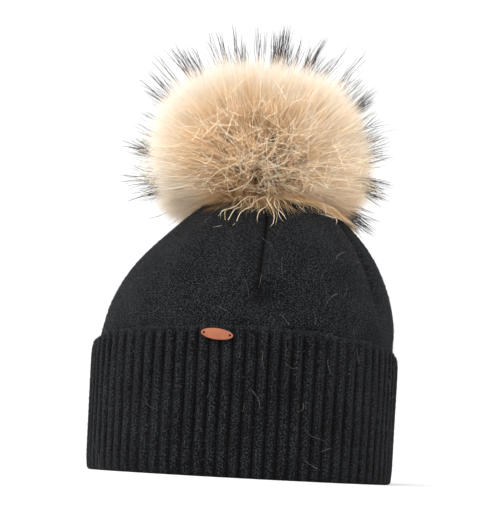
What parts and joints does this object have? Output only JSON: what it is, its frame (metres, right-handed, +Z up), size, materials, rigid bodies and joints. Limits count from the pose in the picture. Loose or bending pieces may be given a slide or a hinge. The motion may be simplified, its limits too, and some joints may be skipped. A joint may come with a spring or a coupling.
{
  "type": "knitted beanie with a fur pompom",
  "caption": "Knitted beanie with a turned-up ribbed cuff, a gathered crown with darts, a deep fur pompom and a small oval tag.",
  "frame": {"origin": "on the surface that the hat rests on, under the middle of its box", "axes": "+Z up from the cuff to the pompom, -Y towards the front with the tag, +X to the right seen from the front"},
  "size_m": [0.189, 0.1536, 0.2634],
  "materials": {
    "cuff_knit": "matte ribbed wool knit, near black",
    "crown_knit": "matte brushed plain knit, near black",
    "fur": "deep soft fur, cream over tan with dark guard hairs",
    "tag_leather": "smooth tan leather, satin"
  },
  "bodies": {
    "root": {"cuff": "cuff_knit", "crown": "crown_knit", "pompom": "fur", "tag": "tag_leather"}
  },
  "joints": []
}
